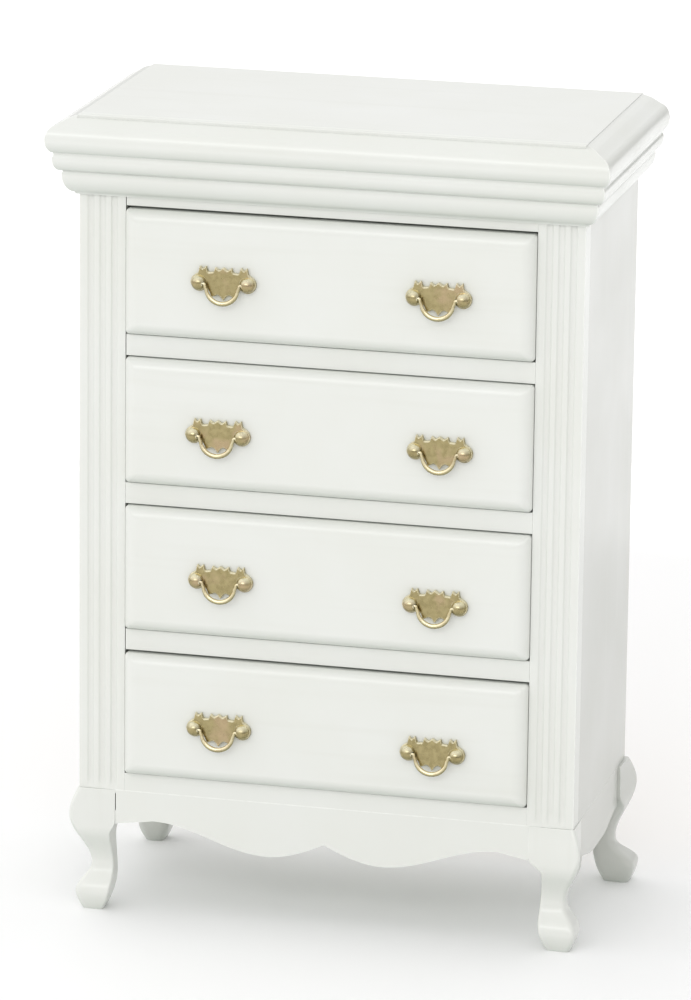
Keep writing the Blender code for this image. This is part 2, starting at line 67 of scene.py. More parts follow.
# Light: the tent's brightness from left to right and what it gains upwards, the softbox in
# front, and the lamp that whitens the floor well behind the chest
TENT_ACROSS = (0.62, 0.10)
TENT_UP = (0.0, 0.66)
TENT_TURN = 0.25
KEY_PLACE = Vector((0.0, -0.95, 0.66))
KEY_SIZE = (0.9, 0.25)
KEY_POWER = 1.95
FLOOR_LAMP_PLACE = Vector((0.12, 0.93, 0.9))
FLOOR_LAMP_REACH = 0.74
FLOOR_LAMP_FADE = 0.06
FLOOR_LAMP_POWER = 15.0
FLOOR_RADIUS = 6.0
FLOOR_SIDES = 72

# Paint: its two tones, the painted shade that greys the side pieces, the grain, a painted highlight
# on edges, and painted shade in joints, in the piece's own grooves and underneath
PAINT_TONES = ((0.772, 0.783, 0.745), (0.757, 0.767, 0.72))
PAINT_SIDE_SHADE = (0.40, 0.405, 0.365)
PAINT_GRAIN = (0.70, 0.705, 0.65)
PAINT_EDGE_HIGHLIGHT = (0.93, 0.94, 0.905)
PAINT_SHADE_IN_JOINTS = (0.56, 0.60, 0.56)
PAINT_SHADE_IN_GROOVES = (0.50, 0.545, 0.50)
PAINT_SHADE_UNDERNEATH = (0.48, 0.525, 0.47)
SIDE_SHADE_SHARE = 0.43

# Bare wood: its two tones, its paler patches, its pores and its handled edges
WOOD_TONES = ((0.66, 0.50, 0.32), (0.52, 0.365, 0.21))
WOOD_PATCH = (0.70, 0.56, 0.38)
WOOD_PORES = (0.36, 0.23, 0.12)
WOOD_EDGES = (0.40, 0.27, 0.15)

# Gilt: painted highlights on top and on edges, worn to copper, painted shade where it faces down,
# dirty in the hollows; two tones for each piece
GILT_HIGHLIGHT = (1.0, 0.94, 0.70)
GILT_COPPER = (0.56, 0.41, 0.27)
GILT_UNDERSIDE_SHADE = (0.25, 0.23, 0.115)
GILT_HOLLOW = (0.20, 0.155, 0.06)
# plate tones: tarnish, darkened further as painted shade; bail tones: polish, lightened further as
# painted highlight
PLATE_SHADED_TONES = ((0.33, 0.275, 0.135), (0.44, 0.37, 0.19))
BAIL_HIGHLIT_TONES = ((0.86, 0.72, 0.43), (0.98, 0.88, 0.6))

# Joints, which paint closes more or less
HAIRLINE = 0.02 * MM
OPEN_JOINT = 0.12 * MM
PAINT_ROUND = 0.08 * MM
APRON_ROUND = 0.1 * MM
PANEL_ROUND = 0.5 * MM
BACK_JOIN = 0.2 * MM

# Cornice and top board
LIP_THICKNESS = 0.55 * MM
OGEE_DEPTH = 1.6 * MM
TOP_ROUND = 0.24 * MM
BEAD_HOLLOW = 0.16 * MM
BEAD_INNER = 0.5 * MM
HOLLOW_MIDDLE = 0.85 * MM
HOLLOW_END = 1.3 * MM

# Pilasters
FLUTE_COUNT = 3
FLUTE_PITCH = 1.76 * MM
FLUTE_WIDTH = 1.02 * MM
FLUTE_DEPTH = 0.27 * MM
FLUTE_CURVE = 3.4
FLUTE_RUNOUT = 1.1 * MM
PILASTER_COLUMNS = 72
PILASTER_ROWS = 56

# Drawer fronts; each one is let out into its gap, and upwards by its own measure
EDGE_DEPTH = 1.6 * MM
EDGE_WIDTH = 2.0 * MM
CORNER_RADIUS = 0.55 * MM
EDGE_STEPS = 10
CORNER_STEPS = 5
LEFT_REACH = 0.2 * MM
RIGHT_REACH = 0.28 * MM
FOOT_REACH = 0.14 * MM
HEAD_REACH = {1: 0.08 * MM, 2: 0.27 * MM, 3: 0.24 * MM, 4: 0.1 * MM}

# Drawer boxes
BOARD_JOIN = 0.28 * MM
BOTTOM_ROUND = 0.035 * MM

# Legs
KNEE_DROP = 3.9 * MM
KNEE_SWELL = 1.4 * MM
ANKLE_DROP = 12.2 * MM
ANKLE_SWELL = -1.37 * MM
FOOT_DROP = 16.1 * MM
FOOT_SWELL = 0.6 * MM
PAD_SWELL = -0.3 * MM
LEG_TOP_SWELL = 0.25 * MM
BLOCK_WIDTH = 5.5 * MM
BLOCK_DROP = 4.9 * MM
SHANK_DROP = 7.2 * MM
SHANK_WIDTH = 4.4 * MM
CALF_DROP = 13.6 * MM
CALF_WIDTH = 4.7 * MM
PAD_WIDTH = 3.3 * MM
LEG_OUTER_ROUND = 0.75 * MM
LEG_ROUND = 0.35 * MM
LEG_RINGS = 44

# Where a leg comes free of the aprons: from a share of its block's drop, over a run below its
# shank; until then its inner edges are nearly flush and sharp, and then they are well rounded
FREE_FROM = 0.85
FREE_RUN = 1.5 * MM
FLUSH = 0.06
SHARP_EDGE = 0.02 * MM
INNER_ROUND = 1.0 * MM
REAR_ROUND = 0.9 * MM

# How the hand-shaped legs differ: how much wider each one is across the chest at its block, its
# shank and its foot, how much fuller at the ankle, how far out it is set and its foot splayed
LEG_SHAPES = {
    "leg_front_left": {"shank": 0.3 * MM, "foot": 0.2 * MM},
    "leg_front_right": {"block": 1.1 * MM, "shank": 0.2 * MM, "foot": 0.4 * MM},
    "leg_rear_left": {},
    "leg_rear_right": {
        "shank": 0.3 * MM,
        "foot": 1.0 * MM,
        "ankle": -0.7 * MM,
        "shift": 0.4 * MM,
        "splay": 1.4 * MM,
    },
}

# Aprons
APRON_END = 5.3 * MM
APRON_HIGH = (26.2 * MM, 4.4 * MM)
APRON_LOW = (8.6 * MM, 8.35 * MM)
APRON_CUSP = 5.7 * MM
SIDE_APRON_END = 6.2 * MM
SIDE_APRON_LOW = 7.8 * MM
SIDE_APRON_RUN = 10.0 * MM
APRON_STEPS = 16
APRON_SLIT = (0.5 * MM, 3.2 * MM)
SLIT_WIDTH = 0.12 * MM

# Pulls, round the middle of the pin line
PLATE_BACK = 1.27 * MM
PLATE_FACE = 0.65 * MM
PLATE_EDGE = 0.14 * MM
BOSS_SPREAD = 3.6 * MM
BOSS_RADIUS = 1.12 * MM
BOSS_HEIGHT = 1.2 * MM
LOBE_RADIUS = 1.27 * MM
BOSS_SIDES = 28
BOSS_SINK = 0.15 * MM
BORE_SIDES = 24
PIN_BORE_RADIUS = 0.32 * MM
PIN_BORE = (2.5 * MM, 3.45 * MM)
BAIL_END_RADIUS = 0.25 * MM
BAIL_BOW_THICK = 0.36 * MM
BAIL_LOWEST = 3.21 * MM
BAIL_BOW_RADIUS = 2.35 * MM
BAIL_BOW_DROP = 0.6 * MM
BAIL_BEND = (2.86 * MM, 0.3 * MM)
BAIL_PIN_END = 3.3 * MM
BAIL_SIDES = 14

# Places read from the frame
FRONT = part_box("pilaster_left")[0].y
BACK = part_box("side_panel_left")[1].y
HALF_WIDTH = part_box("pilaster_right")[1].x
OPENING_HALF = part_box("pilaster_right")[0].x
CASE_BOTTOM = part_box("bottom_board")[0].z
CARCASS_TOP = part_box("pilaster_left")[1].z
CORNICE_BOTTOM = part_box("cornice_front")[0].z
CORNICE_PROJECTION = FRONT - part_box("cornice_front")[0].y
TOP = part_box("top_board")[1].z
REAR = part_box("top_board")[1].y


# ---------------------------------------------------------------- materials


class Look:
    """A Principled material whose nodes are added one call at a time."""

    def __init__(self, name, **sockets):
        self.material = bpy.data.materials.new(name)
        self.material.use_nodes = True
        self.tree = self.material.node_tree
        self.shader = self.tree.nodes["Principled BSDF"]
        for socket, value in sockets.items():
            self.put(self.shader.inputs[socket.replace("_", " ")], value)

    def put(self, socket, value):
        if isinstance(value, bpy.types.NodeSocket):
            self.tree.links.new(value, socket)
        else:
            socket.default_value = value

    def add(self, kind, inputs, output=0, **settings):
        """Adds a node and gives one of its outputs."""
        node = self.tree.nodes.new("ShaderNode" + kind)
        for key, value in settings.items():
            setattr(node, key, value)
        for key, value in inputs.items():
            self.put(node.inputs[key], value)
        return node.outputs[output]

    def noise(self, scale, detail=3.0, stretch=(1.0, 1.0, 1.0)):
        """Noise in the piece's own coordinates, drawn out along the axes with a small stretch."""
        place = self.add("TexCoord", {}, output="Object")
        place = self.add("Mapping", {"Vector": place, "Scale": stretch}, vector_type="POINT")
        return self.add("TexNoise", {"Vector": place, "Scale": scale, "Detail": detail})

    def spread(self, value, low, high, out_low=0.0, out_high=1.0):
        inputs = {"Value": value, "From Min": low, "From Max": high}
        inputs["To Min"], inputs["To Max"] = out_low, out_high
        return self.add("MapRange", inputs)

    def multiply(self, first, second):
        return self.add("Math", {0: first, 1: second}, operation="MULTIPLY")

    def mix(self, share, first, second):
        inputs = {0: share, 6: (*first, 1.0) if isinstance(first, tuple) else first}
        inputs[7] = (*second, 1.0) if isinstance(second, tuple) else second
        return self.add("Mix", inputs, output=2, data_type="RGBA")

    def edges(self, radius):
        """1 on rounded edges, 0 on flat surfaces: the mask for painted highlights on paint and gilt,
        and for the bare wood's handled wear.
        """
        rounded = self.add("Bevel", {"Radius": radius}, samples=4)
        flat = self.add("NewGeometry", {}, output="Normal")
        inputs = {0: rounded, 1: flat}
        likeness = self.add("VectorMath", inputs, output="Value", operation="DOT_PRODUCT")
        return self.spread(likeness, 1.0, 0.82)

    def crevices(self, distance, own=False):
        """1 deep in joints and grooves, 0 in the open; the piece's own grooves only, if asked."""
        inputs = {"Distance": distance}
        openness = self.add("AmbientOcclusion", inputs, output="AO", samples=6, only_local=own)
        return self.spread(openness, 0.75, 0.25)

    def upward(self):
        """The height part of the piece's own normal: 1 on top of it, -1 underneath."""
        facing = self.add("TexCoord", {}, output="Normal")
        return self.add("SeparateXYZ", {"Vector": facing}, output=2)

    def bump(self, *layers):
        """Layers of (height, distance), laid one on another."""
        normal = None
        for height, distance in layers:
            inputs = {"Height": height, "Distance": distance}
            if normal is not None:
                inputs["Normal"] = normal
            normal = self.add("Bump", inputs)
        self.put(self.shader.inputs["Normal"], normal)


def along(axis, lengthwise, crosswise):
    """A stretch for grain that runs along one axis."""
    return tuple(lengthwise if name == axis else crosswise for name in "xyz")


def make_paint(axis, side_shade=0.0):
    """Warm white satin-gloss paint, brushed along the grain of the wood under it."""
    look = Look(f"paint_{axis}_{side_shade}", Coat_Weight=0.55, Coat_Roughness=0.16, Coat_IOR=1.5)
    grain = look.noise(420.0, 5.0, along(axis, 0.05, 1.0))
    skin = look.noise(900.0, 2.0)
    cloud = look.noise(55.0, 3.0)
    tone = look.mix(look.spread(cloud, 0.35, 0.65), *PAINT_TONES)
    # painted shade: the side pieces' copy of the paint is greyed all over
    tone = look.mix(side_shade, tone, PAINT_SIDE_SHADE)
    tone = look.mix(look.spread(grain, 0.55, 0.8, 0.0, 0.35), tone, PAINT_GRAIN)
    # painted highlight: rounded edges lightened as if catching the light
    edge_highlight = look.multiply(look.edges(0.2 * MM), look.spread(skin, 0.35, 0.6, 0.4, 1.0))
    tone = look.mix(edge_highlight, tone, PAINT_EDGE_HIGHLIGHT)
    # painted shade where neighbouring pieces crowd in, from ambient occlusion
    tone = look.mix(look.multiply(look.crevices(0.7 * MM), 0.3), tone, PAINT_SHADE_IN_JOINTS)
    # painted shade in the piece's own grooves, from ambient occlusion
    tone = look.mix(look.multiply(look.crevices(2.2 * MM, own=True), 0.45), tone, PAINT_SHADE_IN_GROOVES)
    # painted shade on faces that point down
    tone = look.mix(look.spread(look.upward(), -0.08, -0.85, 0.0, 0.65), tone, PAINT_SHADE_UNDERNEATH)
    look.put(look.shader.inputs["Base Color"], tone)
    look.put(look.shader.inputs["Roughness"], look.spread(cloud, 0.3, 0.7, 0.30, 0.42))
    look.bump((grain, 0.016 * MM), (skin, 0.007 * MM), (cloud, 0.05 * MM))
    return look.material


def make_bare_wood(axis):
    """Pale close-grained wood, planed and left bare, with fine pores and darker edges worn by handling.
    """
    look = Look(f"bare_wood_{axis}", Specular_IOR_Level=0.3)
    bands = look.noise(150.0, 6.0, along(axis, 0.06, 1.0))
    pores = look.noise(1500.0, 3.0, along(axis, 0.05, 1.0))
    cloud = look.noise(40.0, 3.0)
    tone = look.mix(look.spread(bands, 0.35, 0.65), *WOOD_TONES)
    tone = look.mix(look.spread(cloud, 0.4, 0.7, 0.0, 0.4), tone, WOOD_PATCH)
    tone = look.mix(look.spread(pores, 0.58, 0.75, 0.0, 0.6), tone, WOOD_PORES)
    tone = look.mix(look.multiply(look.edges(0.15 * MM), 0.45), tone, WOOD_EDGES)
    look.put(look.shader.inputs["Base Color"], tone)
    look.put(look.shader.inputs["Roughness"], look.spread(pores, 0.3, 0.7, 0.55, 0.75))
    look.bump((bands, 0.02 * MM), (pores, 0.02 * MM))
    return look.material


def make_gilt(name, tones, underside_shade):
    """Gold-washed metal: mottled, with painted highlights on top and on its edges and painted shade
    where it faces down.

    The last argument is the range of the normal's height, then the share of painted shade at each end
    of it.
    """
    look = Look(name, Metallic=1.0)
    mottle = look.noise(1300.0, 4.0)
    patch = look.noise(330.0, 2.0)
    tone = look.mix(look.spread(mottle, 0.35, 0.65), *tones)
    tone = look.mix(look.spread(patch, 0.5, 0.65, 0.0, 0.5), tone, GILT_COPPER)
    # painted highlight on the edges
    tone = look.mix(look.multiply(look.edges(0.16 * MM), 0.9), tone, GILT_HIGHLIGHT)
    # painted highlight on faces that point up
    tone = look.mix(look.spread(look.upward(), 0.2, 0.8, 0.0, 0.75), tone, GILT_HIGHLIGHT)
    # painted shade on faces that point down
    tone = look.mix(look.spread(look.upward(), *underside_shade), tone, GILT_UNDERSIDE_SHADE)
    tone = look.mix(look.multiply(look.crevices(0.5 * MM), 0.7), tone, GILT_HOLLOW)
    look.put(look.shader.inputs["Base Color"], tone)
    look.put(look.shader.inputs["Roughness"], look.spread(mottle, 0.3, 0.7, 0.20, 0.38))
    look.bump((mottle, 0.014 * MM), (patch, 0.02 * MM))
    return look.material


def make_floor_look():
    """A matt floor, almost white and almost even."""
    look = Look("studio_floor", Specular_IOR_Level=0.2)
    cloud = look.noise(3.0, 2.0)
    tone = look.mix(look.spread(cloud, 0.35, 0.65), (0.98, 0.98, 0.98), (0.97, 0.97, 0.97))
    look.put(look.shader.inputs["Base Color"], tone)
    look.put(look.shader.inputs["Roughness"], look.spread(cloud, 0.3, 0.7, 0.6, 0.7))
    return look.material


PAINT = {axis: make_paint(axis) for axis in "xyz"}
# the side pieces' paint, greyed all over as painted shade
SIDE_SHADED_PAINT = {axis: make_paint(axis, SIDE_SHADE_SHARE) for axis in "yz"}
WOOD = {axis: make_bare_wood(axis) for axis in "xyz"}
PLATE_GILT = make_gilt("plate_gilt", PLATE_SHADED_TONES, (-0.1, -0.6, 0.0, 0.45))
BAIL_GILT = make_gilt("bail_gilt", BAIL_HIGHLIT_TONES, (0.25, -0.25, 0.0, 0.85))


# ---------------------------------------------------------------- mesh tools


def arc(centre, radius, start, end, steps):
    """Points on an arc or, with a pair of radii, on part of an ellipse; angles in degrees."""
    across, up = radius if isinstance(radius, tuple) else (radius, radius)
    points = []
    for i in range(steps + 1):
        angle = math.radians(start + (end - start) * i / steps)
        points.append((centre[0] + across * math.cos(angle), centre[1] + up * math.sin(angle)))
    return points


def softened(corners, steps=3):
    """An outline through (x, y, radius) corners, each rounded to its own radius."""
    outline = []
    for i, (x, y, radius) in enumerate(corners):
        here = Vector((x, y))
        before = Vector(corners[i - 1][:2]) - here
        after = Vector(corners[(i + 1) % len(corners)][:2]) - here
        reach = min(radius, before.length * 0.45, after.length * 0.45)
        if reach == 0:
            outline.append((x, y))
            continue
        start = here + before.normalized() * reach
        end = here + after.normalized() * reach
        for j in range(steps + 1):
            share = j / steps
            point = start * (1 - share) ** 2 + here * 2 * share * (1 - share) + end * share**2
            outline.append((point.x, point.y))
    return outline


def ease(share):
    """Goes from 0 to 1 with a level start and a level end."""
    return (1 - math.cos(math.pi * share)) / 2


def between(value, low, high):
    """How far a value is from low to high: 0 up to low, 1 from high on."""
    return min(1.0, max(0.0, (value - low) / (high - low)))


def mesh_from(name, bm, sharp=35):
    bmesh.ops.recalc_face_normals(bm, faces=bm.faces)
    mesh = bpy.data.meshes.new(name)
    bm.to_mesh(mesh)
    bm.free()
    mesh.shade_smooth()
    mesh.set_sharp_from_angle(angle=math.radians(sharp))
    return mesh


def loft(name, rings, sharp=35):
    """A closed mesh through rings of equal point counts, with a flat cap on each end."""
    bm = bmesh.new()
    loops = [[bm.verts.new(point) for point in ring] for ring in rings]
    for ring, following in zip(loops, loops[1:]):
        for i in range(len(ring)):
            j = (i + 1) % len(ring)
            bm.faces.new((ring[i], ring[j], following[j], following[i]))
    bm.faces.new(loops[0])
    bm.faces.new(loops[-1])
    return mesh_from(name, bm, sharp)


def add_piece(name, mesh, look, node, rounding=0.0):
    """A fine piece in place of a CAD node, on that node's body, with its edges rounded if asked."""
    mesh.materials.append(look)
    piece = bpy.data.objects.new(name, mesh)
    bpy.context.scene.collection.objects.link(piece)
    if rounding:
        soften = piece.modifiers.new("paint_round", "BEVEL")
        soften.width = rounding
        soften.segments = 3
        soften.limit_method = "ANGLE"
        soften.angle_limit = math.radians(40)
        soften.harden_normals = True
    flatten = piece.modifiers.new("flat_faces", "WEIGHTED_NORMAL")
    flatten.keep_sharp = True
    bodies = frame["record"]["behaviour"]["bodies"]
    body = next(body for body, nodes in bodies.items() if node in nodes)
    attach(piece, body)
    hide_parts(node)
    return piece


def board_mesh(name, low, high):
    outline = ((low.x, low.y), (high.x, low.y), (high.x, high.y), (low.x, high.y))
    return loft(name, [[(x, y, z) for x, y in outline] for z in (low.z, high.z)])


def add_board(node, look, grow_low=(0, 0, 0), grow_high=(0, 0, 0), rounding=PAINT_ROUND):
    """A squared board in place of a node, let out towards the neighbours that it is glued to."""
    low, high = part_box(node)
    low = low - Vector(grow_low)
    high = high + Vector(grow_high)
    return add_piece(node + "_fine", board_mesh(node, low, high), look, node, rounding)


# ---------------------------------------------------------------- carcass


def flute_depth(across):
    """How deep the pilaster's front is cut, at a distance from its outer edge."""
    width = HALF_WIDTH - OPENING_HALF
    first = (width - (FLUTE_COUNT - 1) * FLUTE_PITCH) / 2
    depth = 0.0
    for i in range(FLUTE_COUNT):
        offset = abs(across - first - i * FLUTE_PITCH) / (FLUTE_WIDTH / 2)
        if offset < 1:
            depth = FLUTE_DEPTH * (1 - offset**FLUTE_CURVE)
    return depth


def pilaster_front(side, across, height):
    """A point on the fluted face; paint clogs the lower end of each flute."""
    x = side * (HALF_WIDTH - across)
    rise = height - CASE_BOTTOM
    uneven = 0.35 * noise.noise(Vector((x * 700, 3.0, side)))
    clear = ease(between(rise, 0.5 * MM, FLUTE_RUNOUT * (1.4 + uneven)))
    wander = 0.05 * noise.noise(Vector((x * 300, 0.0, height * 160)))
    return (x, FRONT + flute_depth(across) * clear * (1 + wander), height)


def make_pilaster(side, word):
    """A grid of fine columns in front, closed by plain sides and a plain back."""
    width = HALF_WIDTH - OPENING_HALF
    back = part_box("pilaster_" + word)[1].y
    rows = []
    for j in range(PILASTER_ROWS + 1):
        share = j / PILASTER_ROWS
        height = CASE_BOTTOM + (CARCASS_TOP - CASE_BOTTOM) * share**1.5
        columns = [width * i / PILASTER_COLUMNS for i in range(PILASTER_COLUMNS + 1)]
        row = [pilaster_front(side, across, height) for across in columns]
        rows.append(row + [(row[-1][0], back, height), (row[0][0], back, height)])
    mesh = loft("pilaster", rows, sharp=50)
    name = "pilaster_" + word
    add_piece(name + "_fine", mesh, PAINT["z"], name)


def make_side_panel(side, word):
    """Its rear outer corner is rounded over; its front edge is glued to the pilaster."""
    name = "side_panel_" + word
    low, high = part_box(name)
    outer = HALF_WIDTH
    inner = min(abs(low.x), abs(high.x))
    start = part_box("pilaster_" + word)[1].y + HAIRLINE / 2
    corners = [(outer, start, 0), (outer, high.y, PANEL_ROUND), (inner, high.y, 0), (inner, start, 0)]
    outline = [(side * x, y) for x, y in softened(corners)]
    mesh = loft(name, [[(x, y, z) for x, y in outline] for z in (low.z, high.z)])
    # greyed paint: painted shade on the side
    add_piece(name + "_fine", mesh, SIDE_SHADED_PAINT["z"], name)


def make_shelf(name, left_joint):
    """A full-depth shelf whose front edge is a rail: tight on the right, with a joint on the left."""
    low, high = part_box(name)
    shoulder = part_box("pilaster_left")[1].y + 0.3 * MM
    right = OPENING_HALF - HAIRLINE
    left = -OPENING_HALF + left_joint
    outline = [
        (right, low.y),
        (right, shoulder),
        (high.x, shoulder),
        (high.x, high.y),
        (low.x, high.y),
        (low.x, shoulder),
        (left, shoulder),
        (left, low.y),
    ]
    mesh = loft(name, [[(x, y, z) for x, y in outline] for z in (low.z, high.z)])
    rounding = 0 if name == "bottom_board" else PAINT_ROUND
    add_piece(name + "_fine", mesh, PAINT["x"], name, rounding)


def make_top_rail():
    low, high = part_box("rail_top")
    low = Vector((-OPENING_HALF + OPEN_JOINT, low.y, low.z))
    high = Vector((OPENING_HALF - HAIRLINE, high.y, high.z))
    add_piece("rail_top_fine", board_mesh("rail_top", low, high), PAINT["x"], "rail_top", PAINT_ROUND)


# ---------------------------------------------------------------- cornice and top


def cornice_profile(place):
    """(projection, height) round the moulding; height 0 is the raised top.

    The place is "lip" under the top's lip, "end" just past the lip's end, or "side".
    """
    ledge = -LIP_THICKNESS - HAIRLINE / 2
    profile = {
        "lip": [(HAIRLINE, ledge), (1.01 * MM, ledge), (1.03 * MM, ledge + 0.05 * MM)],
        "end": [(HAIRLINE, -0.15 * MM), (0.9 * MM, -0.2 * MM), (1.08 * MM, -0.4 * MM)],
        "side": [(HAIRLINE, -0.15 * MM), (0.2 * MM, -0.29 * MM), (0.6 * MM, -0.37 * MM)],
    }[place]
    profile += [(1.25 * MM, ledge), (1.6 * MM, ledge - 0.16 * MM), (2.0 * MM, ledge - 0.4 * MM)]
    ogee = (CORNICE_PROJECTION - OGEE_DEPTH, -3.55 * MM)
    profile += arc(ogee, (OGEE_DEPTH, 2.15 * MM), 80, -58, 18)
    profile += [(3.15 * MM, -5.45 * MM), (3.08 * MM, -5.7 * MM), (3.15 * MM, -5.95 * MM)]
    profile += arc((2.2 * MM, -6.3 * MM), (1.1 * MM, 1.9 * MM), 5, -76, 10)
    profile += [(2.05 * MM, -8.15 * MM), (1.98 * MM, -8.32 * MM), (2.05 * MM, -8.5 * MM)]
    profile += arc((0.35 * MM, -8.7 * MM), (1.8 * MM, 2.9 * MM), 0, -82, 12)
    bottom = CORNICE_BOTTOM - TOP
    profile += [(0.45 * MM, bottom), (HAIRLINE, bottom)]
    return profile


def make_cornice():
    """Three lengths, mitred at the front corners and cut square at the back."""
    rings = []
    places = ((1, "side"), (0, "end"), (0, "lip"))
    stations = [(-1, *place) for place in places] + [(1, *place) for place in reversed(places)]
    past = {"side": -HAIRLINE / 2, "end": HAIRLINE, "lip": 0.0}
    for side, follow, place in stations:
        reach = HALF_WIDTH + past[place]
        profile = cornice_profile(place)
        rings.append([(side * (reach + out * follow), FRONT - out, TOP + up) for out, up in profile])
    add_piece("cornice_front_fine", loft("cornice_front", rings, 50), PAINT["x"], "cornice_front")
    for side, word in SIDES:
        rings = []
        for start, follow in ((FRONT + HAIRLINE / 2, -1), (REAR, 0)):
            ring = []
            for out, up in cornice_profile("side"):
                ring.append((side * (HALF_WIDTH + out), start + follow * out, TOP + up))
            rings.append(ring)
        name = "cornice_" + word
        add_piece(name + "_fine", loft(name, rings, 50), PAINT["y"], name)


def make_top_board():
    """A raised board: a bead along its lip, a faint hollow behind the bead, its ends rounded over."""
    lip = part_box("top_board")[0].y
    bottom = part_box("top_board")[0].z
    corners = [
        (lip, TOP, TOP_ROUND),
        (lip, TOP - LIP_THICKNESS, 0),
        (FRONT, TOP - LIP_THICKNESS, 0),
        (FRONT, bottom, 0),
        (REAR, bottom, 0),
        (REAR, TOP, TOP_ROUND),
        (lip + HOLLOW_END, TOP, 0.3 * MM),
        (lip + HOLLOW_MIDDLE, TOP - BEAD_HOLLOW, 0.2 * MM),
        (lip + BEAD_INNER, TOP, 0.2 * MM),
    ]
    outline = softened(corners, 5)
    ends = [(0.0, 0.14 * MM), (0.03 * MM, 0.07 * MM), (0.07 * MM, 0.03 * MM), (0.14 * MM, 0.0)]
    stations = [(inset - HALF_WIDTH, drop) for inset, drop in ends]
    stations += [(HALF_WIDTH - inset, drop) for inset, drop in reversed(ends)]
    rings = [[(x, y, min(z, TOP - drop)) for y, z in outline] for x, drop in stations]
    add_piece("top_board_fine", loft("top_board", rings), PAINT["x"], "top_board")


# ---------------------------------------------------------------- legs and aprons


def leg_swell(drop, ankle_swell):
    """How far a leg's outer faces stand out from the case's corner, at a drop below the case."""
    if drop < KNEE_DROP:
        return LEG_TOP_SWELL + (KNEE_SWELL - LEG_TOP_SWELL) * math.sin(math.pi / 2 * drop / KNEE_DROP)
    if drop < ANKLE_DROP:
        return KNEE_SWELL + (ankle_swell - KNEE_SWELL) * ease(between(drop, KNEE_DROP, ANKLE_DROP))
    if drop < FOOT_DROP:
        return ankle_swell + (FOOT_SWELL - ankle_swell) * ease(between(drop, ANKLE_DROP, FOOT_DROP))
    return FOOT_SWELL + (PAD_SWELL - FOOT_SWELL) * between(drop, FOOT_DROP, CASE_BOTTOM) ** 1.6


def leg_inner(drop):
    """How far a leg's inner faces lie inside the case's corner."""
    if drop < SHANK_DROP:
        return BLOCK_WIDTH + (SHANK_WIDTH - BLOCK_WIDTH) * ease(between(drop, BLOCK_DROP, SHANK_DROP))
    if drop < CALF_DROP:
        return SHANK_WIDTH + (CALF_WIDTH - SHANK_WIDTH) * ease(between(drop, SHANK_DROP, CALF_DROP))
    return CALF_WIDTH + (PAD_WIDTH - CALF_WIDTH) * between(drop, CALF_DROP, CASE_BOTTOM) ** 2


def leg_extra(drop, block, shank, foot):
    """How much wider than the pattern a leg is across the chest."""
    if drop < SHANK_DROP:
        return block + (shank - block) * ease(between(drop, BLOCK_DROP, SHANK_DROP))
    return shank + (foot - shank) * ease(between(drop, SHANK_DROP, CALF_DROP))


def make_leg(name, side, end, block=0.0, shank=0.0, foot=0.0, ankle=0.0, shift=0.0, splay=0.0):
    """end is -1 in front and 1 at the rear; the rest are this leg's own differences."""
    corner_y = FRONT if end < 0 else BACK
    rings = []
    for i in range(LEG_RINGS + 1):
        drop = HAIRLINE + (CASE_BOTTOM - HAIRLINE) * i / LEG_RINGS
        low = -leg_swell(drop, ANKLE_SWELL + ankle)
        deep = leg_inner(drop)
        wide = deep + leg_extra(drop, block, shank, foot)
        free = ease(between(drop, FREE_FROM * BLOCK_DROP, SHANK_DROP + FREE_RUN))
        inner = low * (FLUSH + (1 - FLUSH) * free) if low < 0 else low
        edge = SHARP_EDGE + (LEG_ROUND - SHARP_EDGE) * free
        corners = [
            (low, low, LEG_OUTER_ROUND),
            (wide, inner, edge),
            (wide, deep, LEG_ROUND + INNER_ROUND * free),
            (inner, deep, edge + REAR_ROUND * free),
        ]
        lean = shift + splay * ease(between(drop, KNEE_DROP, FOOT_DROP))
        ring = []
        for across, along_depth in softened(corners, 4):
            x = side * (HALF_WIDTH + lean - across)
            ring.append((x, corner_y - end * along_depth, CASE_BOTTOM - drop))
        rings.append(ring)
    # the rear legs take the side pieces' greyed paint, as painted shade
    look = PAINT["z"] if end < 0 else SIDE_SHADED_PAINT["z"]
    add_piece(name + "_fine", loft(name, rings, 45), look, name)


def apron_edge():
    """Right half of the front apron's lower edge, from the leg to the cusp: (x, drop) points."""
    edge = []
    for i in range(APRON_STEPS + 1):
        share = i / APRON_STEPS
        across = APRON_HIGH[0] + (APRON_LOW[0] - APRON_HIGH[0]) * share
        edge.append((across, APRON_HIGH[1] + (APRON_LOW[1] - APRON_HIGH[1]) * ease(share)))
    for i in range(1, APRON_STEPS + 1):
        share = i / APRON_STEPS
        drop = APRON_LOW[1] - (APRON_LOW[1] - APRON_CUSP) * share**1.7
        edge.append((APRON_LOW[0] * (1 - share), drop))
    return edge


def make_apron_front():
    """Tight against the right leg; a slit of open joint shows beside the left one."""
    low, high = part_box("apron_front")
    left = BLOCK_WIDTH + HAIRLINE - HALF_WIDTH
    right = -left - LEG_SHAPES["leg_front_right"]["block"]
    slit_start, slit_end = APRON_SLIT
    half = apron_edge()
    outline = [(right, APRON_END)] + half + [(-x, drop) for x, drop in reversed(half[:-1])]
    outline += [(left, APRON_END), (left, slit_end), (left + SLIT_WIDTH, slit_end)]
    outline += [(left + SLIT_WIDTH, slit_start), (left, slit_start), (left, 0), (right, 0)]
    rings = [[(x, y, CASE_BOTTOM - drop) for x, drop in outline] for y in (low.y, high.y)]
    add_piece("apron_front_fine", loft("apron_front", rings), PAINT["x"], "apron_front")


